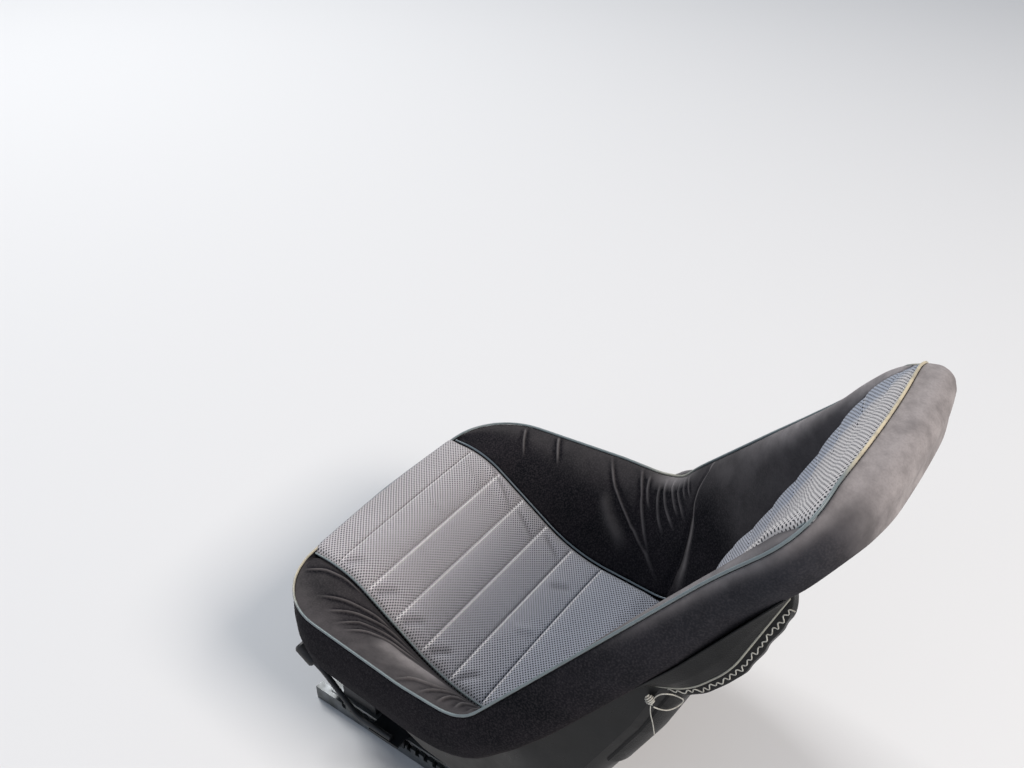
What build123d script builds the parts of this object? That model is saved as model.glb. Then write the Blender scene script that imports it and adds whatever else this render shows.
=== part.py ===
"""Low-back bucket seat of a dune buggy, on its slide rails.

Millimetres. +X is the sitter's left, +Y the rear, +Z up. The origin is on the floor, at the
centre of the four floor bolts. The rim is drawn in side view as a line along the cushion, an
arc at the elbow and a line up the back; every section of the bucket stands square to it.
"""
from build123d import *
import math
import os

os.makedirs("parts", exist_ok=True)

# Rim of the bucket, in side view
front_y = -205.0            # cushion's front edge, from the bolts' centre
front_z = 260.0             # cushion's front edge, over the floor
cushion_rise = 1.6          # degrees, rim along the cushion
back_rise = 51.6            # degrees, rim up the back
cushion_rim = 327.0         # front edge to the elbow's corner
back_rim = 513.4            # elbow's corner to the top edge
elbow_radius = 75.0
elbow_turn = back_rise - cushion_rise

# Rim of the bucket, seen square on
front_half = 240.0          # half width at the front corners
elbow_half = 257.5          # half width at the elbow
top_half = 174.0            # half width at the top
front_corner_radius = 100.0
top_corner_radius = 85.0
front_bow = 12.0            # the front edge bows forward by this
top_bow = 20.0              # the top edge bows up by this

# Layers of the bucket, from the outside in
border_thick = 21.6         # padded border band outside the shell
shell_inset = 22.0          # rim to the shell's outer face
shell_thick = 5.0
foam_gap = 0.4              # glue line between foam and shell
shell_edge = 16.0           # rim down to the shell's raw edge
cover_thick = 3.0           # vinyl cover on the shell's back
side_spare = 3.0            # sections reach past the side walls, which trim them
bolster_bulge = 0.10        # of the panel's depth
tub_corner_radius = 45.0
piping_out = 2.5            # bead stands outside the rim by this
piping_in = 5.0
piping_up = 4.5
piping_down = 3.0

# Slide rails on the floor
rail_x = 165.0              # rail centre to the seat's centre
rail_length = 400.0
rail_width = 44.0
rail_height = 24.0
rail_sheet = 3.0
rail_lip = 9.0
notch_pitch = 15.0          # locking notches along the left rail's outer wall
notch_count = 13
notch_width = 7.0
notch_depth = 8.0
bolt_spacing_y = 360.0
bolt_hole_radius = 4.5

# Sliders that run in the rails
slider_length = 340.0
slider_foot_width = 34.0
slider_foot_z = 8.0
slider_neck_width = 10.0
slider_head_width = 40.0
slider_head_z = 32.0
slider_sheet = 4.0
slider_top = slider_head_z + slider_sheet
glide_length = 40.0
glide_clear = 0.3
glide_y = 130.0

# Brackets and tubes between sliders and shell
riser_sheet = 3.0
riser_width = 30.0
riser_depth = 60.0
riser_places = [("front", -120.0, [104.0, 134.0, 164.0]), ("rear", 115.0, [])]   # the last: windows' heights
riser_window = 9.0          # radius of the lightening holes in the outer wall
cross_tube_radius = 11.0
cross_tube_wall = 2.0
cross_tube_z = 62.0

# Release lever outside the left rail, as (y, z) points from the pawl to the grip
lever_x = 200.0
lever_radius = 4.0
lever_path = [(-44, 43), (-104, 43), (-160, 95), (-176, 105)]
lever_bends = [30.0, 20.0]
knob_radius = 9.5
knob_length = 34.0
knob_chamfer = 3.0

# Pawl that the lever lifts out of the notches
pawl_length = 52.0
pawl_y = -56.0
pawl_sheet = 3.0
pawl_reach = 204.0          # outer edge of its top flange
pawl_tooth = 5.0
pawl_clear = 0.6            # from its teeth to the rail's wall, lifted as drawn

reach = 60.0                # how far cutting tools stand over the rim
wide = 320.0                # half width of side-view slabs


def direction(degrees):
    """Unit vector in the side view, rising by this angle towards the rear."""
    return Vector(0, math.cos(math.radians(degrees)), math.sin(math.radians(degrees)))


def deeper(degrees):
    """Unit vector square to the rim, away from the sitter."""
    return Vector(0, math.sin(math.radians(degrees)), -math.cos(math.radians(degrees)))


rim_front = Vector(0, front_y, front_z)
rim_elbow = rim_front + direction(cushion_rise) * cushion_rim
rim_top = rim_elbow + direction(back_rise) * back_rim
elbow_tangent = elbow_radius * math.tan(math.radians(elbow_turn / 2))
elbow_start = cushion_rim - elbow_tangent
elbow_arc = elbow_radius * math.radians(elbow_turn)
elbow_run_in = 2 * elbow_tangent - elbow_arc    # what the arc saves against the corner
elbow_centre = rim_front + direction(cushion_rise) * elbow_start - deeper(cushion_rise) * elbow_radius
mitre_plane = Plane(origin=rim_elbow, x_dir=(1, 0, 0), z_dir=direction(cushion_rise + elbow_turn / 2))
cushion_plane = Plane(origin=rim_front, x_dir=(1, 0, 0), z_dir=-deeper(cushion_rise))
back_plane = Plane(origin=rim_elbow, x_dir=(1, 0, 0), z_dir=-deeper(back_rise))


def rim_frame(along):
    """Point on the rim's line and the rim's rise, at a distance from the front edge."""
    if along <= elbow_start:
        return rim_front + direction(cushion_rise) * along, cushion_rise
    if along <= elbow_start + elbow_arc:
        rise = cushion_rise + math.degrees((along - elbow_start) / elbow_radius)
        return elbow_centre + deeper(rise) * elbow_radius, rise
    past_corner = along - elbow_start - elbow_arc + elbow_tangent
    return rim_elbow + direction(back_rise) * past_corner, back_rise


def rim_plane(along):
    """Section plane: local x is the seat's +X, local y is the depth under the rim."""
    point, rise = rim_frame(along)
    return Plane(origin=point, x_dir=(1, 0, 0), z_dir=direction(rise))


def rim_line(depth):
    """The rim in side view, moved deeper by this much, front to rear."""
    first = rim_front - direction(cushion_rise) * reach + deeper(cushion_rise) * depth
    last = rim_top + direction(back_rise) * reach + deeper(back_rise) * depth
    turn = []
    for share in (0, 0.5, 1):
        point, rise = rim_frame(elbow_start + elbow_arc * share)
        turn.append(point + deeper(rise) * depth)
    return [Line(first, turn[0]), ThreePointArc(*turn), Line(turn[2], last)]


# Side-view lines, as (rearwards, up) from the cushion's front edge, and the radius at each inner corner
border_edge = [(-60, -101), (322, -84), (432, 38), (545, 186), (760, 507)]
border_edge_radii = [120, 500, 400]
panel_line = [(-60, -4), (56, -1), (225, -113), (398, -120), (507, 99), (564, 304), (701, 474)]
panel_line_radii = [120, 200, 60, 400, 300]
shell_line = [(-60, -41), (61, -36), (234, -151), (417, -153), (535, 89), (590, 281), (731, 455)]
shell_line_radii = [150, 200, 75, 400, 300]


def side_line(corners, radii, drop=0.0):
    """A side-view line with rounded corners, lowered by this much."""
    points = [(front_y + y, front_z + z - drop) for y, z in corners]
    return Plane.YZ * FilletPolyline(*points, radius=radii)


def border_line(drop):
    """The border band's lower edge in side view, lowered by this much."""
    return list(side_line(border_edge, border_edge_radii, drop).edges())


def slab(upper, lower):
    """Full-width solid between two side-view lines, both drawn front to rear."""
    ends = [Line(upper[0] @ 0, lower[0] @ 0), Line(upper[-1] @ 1, lower[-1] @ 1)]
    face = make_face(Curve() + upper + lower + ends)
    return extrude(Pos(-wide, 0, 0) * face, amount=2 * wide, dir=(1, 0, 0))


# Where the bucket's sections stand: distances along the rim
stations = [
    -40, 20, 60, 100, 150, 200, 246, 292, 308, 325, 341, 358, 390, 436, 492, 560, 620, 663, 722, 900
]
# Half widths at the rim, and from the centre to the panels' seams: distance along the rim, half width
rim_halves = [(-40, 237.5), (229, 256.7), (251, 257.5), (320, 257.5), (368, 252), (663, 181), (722, 174), (900, 174)]
panel_halves = [(-40, 151.5), (640, 151.5), (800, 161), (900, 161)]


def half_at(table, along):
    """Half width at a distance along the rim."""
    for (start, first), (end, last) in zip(table, table[1:]):
        if along <= end:
            return first + (last - first) * (along - start) / (end - start)


def depth_at(line, along):
    """Depth of a side-view line under the rim, square to it, found by halving."""
    point, rise = rim_frame(along)
    low, high = 0.0, 1.0
    for halving in range(24):
        middle = (low + high) / 2
        if (line @ middle - point).dot(direction(rise)) < 0:
            low = middle
        else:
            high = middle
    return (line @ low - point).dot(deeper(rise))


def hollow_section(half, panel_half, depth):
    """What is open above the seat's visible surface at one station."""
    chord = math.hypot(half - panel_half, depth)
    sag = bolster_bulge * depth + 0.4
    mid_x = (half + panel_half) / 2 - sag * depth / chord
    mid_y = depth / 2 - sag * (half - panel_half) / chord
    return make_face(Curve() + [
        Line((-wide, -reach), (-wide, 0)),
        Line((-wide, 0), (-half, 0)),
        ThreePointArc((-half, 0), (-mid_x, mid_y), (-panel_half, depth)),
        Line((-panel_half, depth), (panel_half, depth)),
        ThreePointArc((panel_half, depth), (mid_x, mid_y), (half, 0)),
        Line((half, 0), (wide, 0)),
        Line((wide, 0), (wide, -reach)),
        Line((wide, -reach), (-wide, -reach)),
    ])


def tub_section(half, depth):
    """A round-cornered trough, open at the top, at one station."""
    corner = min(tub_corner_radius, 0.45 * depth)
    bevel = corner * (1 - math.sqrt(0.5))
    return make_face(Curve() + [
        Line((-half, -reach), (-half, depth - corner)),
        ThreePointArc((-half, depth - corner), (-half + bevel, depth - bevel), (-half + corner, depth)),
        Line((-half + corner, depth), (half - corner, depth)),
        ThreePointArc((half - corner, depth), (half - bevel, depth - bevel), (half, depth - corner)),
        Line((half, depth - corner), (half, -reach)),
        Line((half, -reach), (-half, -reach)),
    ])


def hollow():
    """Everything above the visible surface of the upholstery."""
    line = side_line(panel_line, panel_line_radii)
    sections = [
        rim_plane(along) * hollow_section(
            half_at(rim_halves, along), half_at(panel_halves, along), depth_at(line, along))
        for along in stations
    ]
    return loft(sections, ruled=True)


def tub(inset, extra):
    """Trough whose floor is the shell line, deeper by extra, its sides inside the rim by inset."""
    line = side_line(shell_line, shell_line_radii)
    sections = [
        rim_plane(along) * tub_section(
            half_at(rim_halves, along) - inset + side_spare, depth_at(line, along) + extra)
        for along in stations
    ]
    return loft(sections, ruled=True)


# Outlines of the rim seen square on: x across, y along the rim, fillet radius
cushion_outline = [
    (-elbow_half, 520, 0),
    (-elbow_half, 240, 300),
    (-front_half, front_bow - 10, front_corner_radius),
    (0, -10, 600),
    (front_half, front_bow - 10, front_corner_radius),
    (elbow_half, 240, 300),
    (elbow_half, 520, 0),
]
back_outline = [
    (-elbow_half, -160, 0),
    (-elbow_half, 22, 200),
    (-top_half, 369, 250),
    (-top_half, back_rim - top_bow, top_corner_radius),
    (0, back_rim, 700),
    (top_half, back_rim - top_bow, top_corner_radius),
    (top_half, 369, 250),
    (elbow_half, 22, 200),
    (elbow_half, -160, 0),
]


def walls(inset):
    """Room inside the bucket's outline, moved in from the rim by this much."""
    halves = []
    for plane, corners, side in (
        (cushion_plane, cushion_outline, Keep.BOTTOM),
        (back_plane, back_outline, Keep.TOP),
    ):
        points = [(x, y) for x, y, radius in corners]
        radii = [radius for x, y, radius in corners]
        face = make_face(FilletPolyline(*points, radius=radii, close=True))
        if inset:
            face = offset(face, amount=-inset)
        prism = extrude(plane * Pos(0, 0, -300) * face, amount=300 + reach, dir=plane.z_dir)
        halves.append(split(prism, bisect_by=mitre_plane, keep=side))
    return halves[0] + halves[1]


def by_side(solids):
    """Name two mirrored solids by the side they are on."""
    right, left = sorted(solids, key=lambda solid: solid.center().X)
    return {"left": left, "right": right}


def shell_pieces():
    """Moulded bucket: a trough with a turned-down skirt all round under the border band."""
    below_edge = slab(rim_line(shell_edge), rim_line(280))
    trough = (tub_outside & shell_walls & below_edge) - (tub_inside & foam_walls)
    skirt = (shell_walls - foam_walls) & slab(rim_line(shell_edge), border_line(-4))
    back_face = back_plane * Pos(0, 110, 0) * Box(500, 400, 600, align=(Align.CENTER, Align.MIN, Align.CENTER))
    cover = tub(shell_inset, shell_thick + foam_gap + cover_thick) - tub(shell_inset, shell_thick + foam_gap)
    inner_walls = walls(shell_inset + shell_thick + foam_gap)
    return {"shell": trough + skirt, "back_cover": cover & back_face & inner_walls}


def foam_pieces():
    """Upholstery inside the shell, divided where the cover is sewn."""
    inset = shell_inset + shell_thick + foam_gap
    room = tub(inset, -foam_gap) & walls(inset) & slab(rim_line(-20), rim_line(280))
    pad = room - open_space
    hip_plane = Plane(origin=(0, front_y + 384, front_z - 90), x_dir=(1, 0, 0), z_dir=(0, 150, -14))
    cushion = split(pad, bisect_by=hip_plane, keep=Keep.BOTTOM)
    back = split(pad, bisect_by=hip_plane, keep=Keep.TOP)
    cushion_strip = Box(2 * panel_halves[0][1], 1400, 1400)
    seam = [(half, along - cushion_rim + elbow_run_in) for along, half in panel_halves]
    back_strip = make_face(Polyline(*seam, *[(-x, y) for x, y in reversed(seam)], close=True))
    back_strip = extrude(back_plane * Pos(0, 0, -400) * back_strip, amount=500, dir=back_plane.z_dir)
    pieces = {"cushion_panel": cushion & cushion_strip, "back_panel": back & back_strip}
    for side, solid in by_side((cushion - cushion_strip).solids()).items():
        pieces[f"cushion_bolster_{side}"] = solid
    for side, solid in by_side((back - back_strip).solids()).items():
        pieces[f"back_wing_{side}"] = solid
    return pieces


def border_pieces():
    """Padded band outside the shell with a lip over the shell's edge, and the piping on its rim."""
    piping = walls(-piping_out) - walls(piping_in)
    piping = piping & slab(rim_line(-piping_up), rim_line(piping_down))
    band = (outer_walls - border_walls) & slab(rim_line(-20), border_line(0))
    lip = (border_walls - foam_walls) & slab(rim_line(-20), rim_line(shell_edge - foam_gap))
    band = (band + lip) - open_space - piping
    middle = Box(220, 2000, 2000)
    front, top = sorted((band & middle).solids(), key=lambda solid: solid.center().Y)
    pieces = {"rim_piping": piping, "border_front": front, "border_top": top}
    for side, solid in by_side((band - middle).solids()).items():
        pieces[f"border_{side}"] = solid
    return pieces


def rail(x):
    """Lipped channel that is bolted to the floor through its web."""
    channel = Pos(x, 0, rail_height / 2) * Box(rail_width, rail_length, rail_height)
    inside_width = rail_width - 2 * rail_sheet
    inside_height = rail_height - 2 * rail_sheet
    channel -= Pos(x, 0, rail_height / 2) * Box(inside_width, rail_length, inside_height)
    channel -= Pos(x, 0, rail_height) * Box(inside_width - 2 * rail_lip, rail_length, 4 * rail_sheet)
    for y in (-bolt_spacing_y / 2, bolt_spacing_y / 2):
        channel -= Pos(x, y, 0) * Cylinder(bolt_hole_radius, 4 * rail_sheet)
    if x > 0:
        notch = Box(4 * rail_sheet, notch_width, 2 * notch_depth)
        for place in range(notch_count):
            y = pawl_y + (place - (notch_count - 1) / 2) * notch_pitch
            channel -= Pos(x + rail_width / 2, y, rail_height) * notch
    return channel


def slider(x):
    """Rolled section that runs in the rail: foot inside, neck through the slot, head on top."""
    foot = Pos(x, 0, slider_foot_z + slider_sheet / 2) * Box(slider_foot_width, slider_length, slider_sheet)
    head = Pos(x, 0, slider_head_z + slider_sheet / 2) * Box(slider_head_width, slider_length, slider_sheet)
    neck_height = slider_head_z - slider_foot_z
    neck = Pos(x, 0, slider_foot_z + neck_height / 2) * Box(slider_neck_width, slider_length, neck_height)
    return foot + head + neck


def glides(x):
    """Two plastic blocks under the slider's foot."""
    height = slider_foot_z - rail_sheet - glide_clear
    block = Box(slider_foot_width - 2, glide_length, height, align=(Align.CENTER, Align.CENTER, Align.MAX))
    return Pos(x, -glide_y, slider_foot_z) * block + Pos(x, glide_y, slider_foot_z) * block


def riser(x, y, windows, shell_room, flange_room):
    """Pressed channel from the slider up to a flange under the shell."""
    inward = -math.copysign(1, x)
    height = 220.0
    bottom = (Align.CENTER, Align.CENTER, Align.MIN)
    block = Pos(x, y, slider_top) * Box(riser_width, riser_depth, height, align=bottom)
    inside = Pos(x + inward * riser_sheet, y, slider_top + riser_sheet) * Box(
        riser_width, riser_depth - 2 * riser_sheet, height, align=bottom)
    bracket = (block - inside - shell_room) + ((flange_room - shell_room) & block)
    for z in windows:
        bracket -= Pos(x, y, z) * Rot(0, 90, 0) * Cylinder(riser_window, 2 * riser_width)
    return bracket


def cross_tube(y):
    """Round tube that ties the left and right brackets together, up to their outer walls."""
    length = 2 * (rail_x + riser_width / 2 - riser_sheet)
    tube = Cylinder(cross_tube_radius, length) - Cylinder(cross_tube_radius - cross_tube_wall, length)
    return Pos(0, y, cross_tube_z) * Rot(0, 90, 0) * tube


def lever():
    """Bent rod of the release lever."""
    path = Pos(lever_x, 0, 0) * (Plane.YZ * FilletPolyline(*lever_path, radius=lever_bends))
    start = Plane(origin=path @ 0, z_dir=path % 0)
    return sweep(start * Circle(lever_radius), path=path)


def knob():
    """Round grip on the lever's end."""
    tip = Vector(lever_x, *lever_path[-1])
    bend = Vector(lever_x, *lever_path[-2])
    grip = Cylinder(knob_radius, knob_length, align=(Align.CENTER, Align.CENTER, Align.MIN))
    grip = chamfer(grip.edges(), knob_chamfer)
    return Plane(origin=tip, z_dir=tip - bend) * grip


def pawl():
    """Bent plate on the slider: top flange, leg outside the rail and teeth that face its notches."""
    wall_x = rail_x + rail_width / 2
    leg_x = wall_x + pawl_clear + 1.2
    slider_edge = rail_x + slider_head_width / 2
    upright = (Align.MIN, Align.CENTER, Align.MIN)
    hanging = (Align.MIN, Align.CENTER, Align.MAX)
    flange = Pos(slider_edge - 14, pawl_y, slider_top) * Box(
        pawl_reach - slider_edge + 14, pawl_length, pawl_sheet, align=upright)
    leg = Pos(leg_x, pawl_y, slider_top) * Box(pawl_sheet, pawl_length, 14, align=hanging)
    plate = flange + leg
    for y in (-notch_pitch, 0, notch_pitch):
        plate += Pos(wall_x + pawl_clear, pawl_y + y, rail_height - 1) * Box(2, pawl_tooth, 6, align=hanging)
    return plate


outer_walls = walls(0)
border_walls = walls(border_thick)
shell_walls = walls(shell_inset)
foam_walls = walls(shell_inset + shell_thick)
open_space = hollow()
tub_outside = tub(shell_inset, shell_thick)
tub_inside = tub(shell_inset + shell_thick, 0)

nodes = {}
nodes.update(shell_pieces())
nodes.update(foam_pieces())
nodes.update(border_pieces())
bracket_room = tub(shell_inset, shell_thick + foam_gap)
flange_room = tub(shell_inset, shell_thick + foam_gap + riser_sheet)
for side, x in (("left", rail_x), ("right", -rail_x)):
    nodes[f"rail_{side}"] = rail(x)
    nodes[f"slider_{side}"] = slider(x)
    nodes[f"glides_{side}"] = glides(x)
    for place, y, windows in riser_places:
        nodes[f"riser_{place}_{side}"] = riser(x, y, windows, bracket_room, flange_room)
for place, y, windows in riser_places:
    nodes[f"cross_tube_{place}"] = cross_tube(y)
nodes["release_lever"] = lever()
nodes["lever_knob"] = knob()
nodes["latch_plate"] = pawl()

for name, solid in nodes.items():
    export_step(solid, f"parts/{name}.step")
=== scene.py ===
"""Looks of a dune buggy's bucket seat: cloth, velour, piping, cover, cord and metal finishes."""
import math

import bpy
import numpy as np
from mathutils import Matrix, Vector


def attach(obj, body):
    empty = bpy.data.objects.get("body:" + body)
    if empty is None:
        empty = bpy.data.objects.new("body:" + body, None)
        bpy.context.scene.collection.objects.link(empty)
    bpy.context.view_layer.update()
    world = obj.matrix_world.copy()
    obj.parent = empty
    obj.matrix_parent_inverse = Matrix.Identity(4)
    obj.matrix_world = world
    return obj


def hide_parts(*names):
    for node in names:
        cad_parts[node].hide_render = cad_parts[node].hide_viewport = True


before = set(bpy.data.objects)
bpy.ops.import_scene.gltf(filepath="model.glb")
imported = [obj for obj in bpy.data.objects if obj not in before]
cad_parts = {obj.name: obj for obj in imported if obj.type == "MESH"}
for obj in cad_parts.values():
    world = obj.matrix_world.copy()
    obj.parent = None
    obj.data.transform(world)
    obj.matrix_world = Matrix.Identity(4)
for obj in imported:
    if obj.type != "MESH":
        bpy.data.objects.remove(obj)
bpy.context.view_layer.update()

bl_info = {
    "name": "Dune buggy bucket seat",
    "version": (1, 0, 0),
    "blender": (4, 5, 0),
    "location": "3D View > Sidebar > Bucket Seat",
    "description": "Dresses the bucket seat and its slide rails, and sets the studio",
    "category": "Object",
}

MM = 0.001

# Rim of the bucket in side view, in millimetres, as the frame's source has it
FRONT_Y, FRONT_Z = -205.0, 260.0
CUSHION_RISE, BACK_RISE = math.radians(1.6), math.radians(51.6)
CUSHION_RIM, BACK_RIM, ELBOW_RADIUS = 327.0, 513.4, 75.0
ELBOW_TURN = BACK_RISE - CUSHION_RISE
ELBOW_RUN = ELBOW_RADIUS * math.tan(ELBOW_TURN / 2)
ELBOW_START = CUSHION_RIM - ELBOW_RUN
ELBOW_END = ELBOW_START + ELBOW_RADIUS * ELBOW_TURN
RIM_END = ELBOW_END - ELBOW_RUN + BACK_RIM

# Half width of the seat panel against the distance along the rim
PANEL_HALVES = ((-40, 151.5), (560, 151.5), (690, 147), (900, 149))
# Corners as (rearwards, up) from the cushion's front edge, and a radius for each inner corner
PANEL_LINE = (
    (-60, -4, 0), (56, -1, 120), (225, -113, 200), (398, -120, 60), (507, 99, 400), (564, 304, 300),
    (701, 474, 0),
)
BORDER_LINE = ((-60, -101, 0), (322, -84, 120), (432, 38, 500), (545, 186, 400), (760, 507, 0))
# Rim seen square on: (half width, distance along the rim, corner radius), front to top
RIM_OUTLINE = (
    (0, -10, 600), (240, 2, 100), (257.5, 240, 300), (257.5, 344.5, 200), (174, 691.9, 250), (174, 815.7, 85),
    (0, RIM_END, 700),
)
# Seam between cushion bolster and back wing: (share of the way from panel to rim, distance along the rim)
HIP_SEAM = ((0, 320), (0.2, 328), (0.36, 338), (0.52, 351), (0.66, 364), (0.78, 381), (0.9, 404), (1, 417))
PANEL_SPLIT = 320.0                     # cushion cloth meets back cloth here

# Depth in metres to which the soft pieces and the cover's hem are modelled behind their faces
PANEL_PADDING, SIDE_PADDING, HEM_THICKNESS = 0.012, 0.004, 0.002

# Distances along the rim at which the cloth is stitched down across the seat
CUSHION_STITCHES = (38, 87, 130, 173, 219, 271)
BACK_STITCHES = (350, 397, 442, 490, 541, 594, 645, 692, 737, 783)


def rounded(corners, closed=False):
    """Polyline of (x, y, radius) corners with its corners turned into arcs."""
    corners = [np.array(c, float) for c in corners]
    count = len(corners)
    line = []
    for i, corner in enumerate(corners):
        here, radius = corner[:2], corner[2]
        if radius == 0 or (not closed and i in (0, count - 1)):
            line.append(here)
            continue
        back = corners[i - 1][:2] - here
        ahead = corners[(i + 1) % count][:2] - here
        shorter = min(np.linalg.norm(back), np.linalg.norm(ahead))
        back, ahead = back / np.linalg.norm(back), ahead / np.linalg.norm(ahead)
        half = math.acos(np.clip(back @ ahead, -1, 1)) / 2
        run = min(radius / math.tan(half), 0.49 * shorter)
        radius = run * math.tan(half)
        middle = (back + ahead) / np.linalg.norm(back + ahead)
        centre = here + middle * radius / math.sin(half)
        start = here + back * run - centre
        turn = math.pi - 2 * half
        sign = np.sign(back[0] * ahead[1] - back[1] * ahead[0]) or 1
        for share in np.linspace(0, 1, 13):
            angle = -sign * turn * share
            cos, sin = math.cos(angle), math.sin(angle)
            line.append(centre + np.array([start[0] * cos - start[1] * sin, start[0] * sin + start[1] * cos]))
    return np.array(line)


def spaced(line, count, closed=False):
    """Points evenly spaced along a polyline."""
    if closed:
        line = np.vstack([line, line[:1]])
    run = np.concatenate([[0], np.cumsum(np.linalg.norm(np.diff(line, axis=0), axis=1))])
    where = np.linspace(0, run[-1], count + 1)[:-1] if closed else np.linspace(0, run[-1], count)
    return np.stack([np.interp(where, run, line[:, k]) for k in range(line.shape[1])], axis=1)


def rim_frame(along):
    """Rim point in side view (y, z) and the rim's rise at distances along the rim."""
    along = np.asarray(along, float)
    rise = np.clip((along - ELBOW_START) / ELBOW_RADIUS, 0, ELBOW_TURN) + CUSHION_RISE
    run = np.minimum(along, ELBOW_START)
    up = np.maximum(along - ELBOW_END, 0)
    arc_y = ELBOW_RADIUS * (np.sin(rise) - math.sin(CUSHION_RISE))
    arc_z = ELBOW_RADIUS * (math.cos(CUSHION_RISE) - np.cos(rise))
    y = run * math.cos(CUSHION_RISE) + arc_y + up * math.cos(BACK_RISE)
    z = run * math.sin(CUSHION_RISE) + arc_z + up * math.sin(BACK_RISE)
    return y, z, rise


def place(x, along, depth):
    """Point in the seat's frame, metres: x across, distance along the rim, depth under it (millimetres)."""
    y, z, rise = rim_frame(along)
    y = FRONT_Y + y + depth * np.sin(rise)
    z = FRONT_Z + z - depth * np.cos(rise)
    return np.stack(np.broadcast_arrays(x, y, z), axis=-1) * MM


def depth_of(line, along):
    """Depth of a side-view line under the rim, square to it."""
    points = rounded(line)
    y, z, rise = rim_frame(along)
    depths = []
    for y0, z0, r in zip(y, z, rise):
        ahead = (points[:, 0] - y0) * math.cos(r) + (points[:, 1] - z0) * math.sin(r)
        deep = (points[:, 0] - y0) * math.sin(r) - (points[:, 1] - z0) * math.cos(r)
        depths.append(np.interp(0, ahead, deep))
    return np.array(depths)


# Depths of both lines under the rim, at every 2 mm along it
ALONGS = np.linspace(-60, 880, 471)
PANEL_DEPTHS = depth_of(PANEL_LINE, ALONGS)
BORDER_DEPTHS = depth_of(BORDER_LINE, ALONGS)
TUCK = 2.5                              # cloth and velour end this far inside the rim, under the piping


def outline(tuck):
    """The whole rim seen square on, as (x, distance along the rim), drawn in by a tuck."""
    half = []
    for x, along, radius in RIM_OUTLINE:
        end = 1 if along < 100 else -1 if along > 700 else 0
        half.append((max(x - tuck, 0), along + end * tuck, radius))
    return rounded(half + [(-x, along, radius) for x, along, radius in half[-2:0:-1]], closed=True)


# The rim, the same drawn in under the piping, its left side, and its left half sorted across the seat
RIM = outline(0)
TUCKED_RIM = outline(TUCK)
SIDE_RIM = TUCKED_RIM[TUCKED_RIM[:, 0] > 140]
ENDS_RIM = TUCKED_RIM[TUCKED_RIM[:, 0] > -1]
ENDS_RIM = ENDS_RIM[np.argsort(ENDS_RIM[:, 0])]


def panel_depth(along):
    """Depth of the panels' seam line: it sinks in the middle of the back and swells at the top."""
    return np.interp(along, ALONGS, PANEL_DEPTHS) + 15 * hump(along, 655, 95) - 4 * hump(along, 815, 45)


def border_depth(along):
    return np.interp(along, ALONGS, BORDER_DEPTHS)


def crown(x, along):
    """How far the pillow along the top edge swells forwards; its right-hand corner droops."""
    droop = 7.5 * hump(x, -168, 34) * smooth(770, 812, along)
    return 8.0 * smooth(172, 105, np.abs(x)) * smooth(730, 815, along) - droop


def panel_half(along, side=1):
    """Half width of the panels on a side; the right-hand seam runs out towards the top corner."""
    outwards = 8 * smooth(745, 800, along) if side < 0 else 0
    return np.interp(along, *zip(*PANEL_HALVES)) + outwards


def rim_half(along):
    return np.interp(along, SIDE_RIM[:, 1], SIDE_RIM[:, 0])


def front_edge(x):
    """Distance along the rim at which the front edge stands, across the seat."""
    front = ENDS_RIM[ENDS_RIM[:, 1] < 120]
    return np.interp(np.abs(x), front[:, 0], front[:, 1])


def top_edge(x):
    """Distance along the rim at which the top edge stands, across the seat."""
    top = ENDS_RIM[ENDS_RIM[:, 1] > 790]
    return np.interp(np.abs(x), top[:, 0], top[:, 1])


def smooth(low, high, value):
    """Rises smoothly from 0 at low to 1 at high."""
    share = np.clip((value - low) / (high - low), 0, 1)
    return share * share * (3 - 2 * share)


def hump(value, middle, width):
    """A bell curve that rises to 1 at its middle."""
    return np.exp(-(((value - middle) / width) ** 2))


def panel_run(along):
    """Length of the panels' seam line from the front edge, in millimetres."""
    line = place(0, ALONGS, panel_depth(ALONGS)) / MM
    run = np.concatenate([[0], np.cumsum(np.linalg.norm(np.diff(line, axis=0), axis=1))])
    return np.interp(along, ALONGS, run) - np.interp(0, ALONGS, run)


def primitive(add, name, **settings):
    """A primitive added with nothing else selected, and named."""
    bpy.ops.object.select_all(action="DESELECT")
    add(**settings)
    piece = bpy.context.object
    piece.name = name
    piece.data.name = name
    return piece


def points_of(piece):
    flat = np.empty(len(piece.data.vertices) * 3)
    piece.data.vertices.foreach_get("co", flat)
    return flat.reshape(-1, 3)


def move_points(piece, points):
    piece.data.vertices.foreach_set("co", np.ascontiguousarray(points, dtype=float).ravel())
    piece.data.update()


def applied(piece, kind, **settings):
    """A modifier added with its settings and applied."""
    bpy.context.view_layer.objects.active = piece
    modifier = piece.modifiers.new(kind.title(), kind)
    for key, value in settings.items():
        setattr(modifier, key, value)
    bpy.ops.object.modifier_apply(modifier=modifier.name)


def laid_grid(name, columns, rows, surface):
    """A grid primitive whose points are moved onto surface(u, v): points in metres, a weave map and wear."""
    counts = {"x_subdivisions": columns, "y_subdivisions": rows}
    piece = primitive(bpy.ops.mesh.primitive_grid_add, name, size=1, **counts)
    flat = points_of(piece)
    order = np.lexsort((flat[:, 0].round(5), flat[:, 1].round(5)))
    u, v = np.meshgrid(np.linspace(0, 1, columns + 1), np.linspace(0, 1, rows + 1))
    points, weave, wear_and_light = surface(u, v)
    laid = np.empty_like(flat)
    laid[order] = points.reshape(-1, 3)
    move_points(piece, laid)
    plan = np.empty((len(flat), 2))
    plan[order] = weave.reshape(-1, 2)
    corners = np.empty(len(piece.data.loops), int)
    piece.data.loops.foreach_get("vertex_index", corners)
    piece.data.uv_layers[0].name = "weave"
    piece.data.uv_layers[0].data.foreach_set("uv", plan[corners].ravel() * MM)
    worn_and_lit = np.empty(len(flat))
    worn_and_lit[order] = wear_and_light.ravel()
    add_wear_and_light(piece, worn_and_lit)
    return piece


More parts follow.
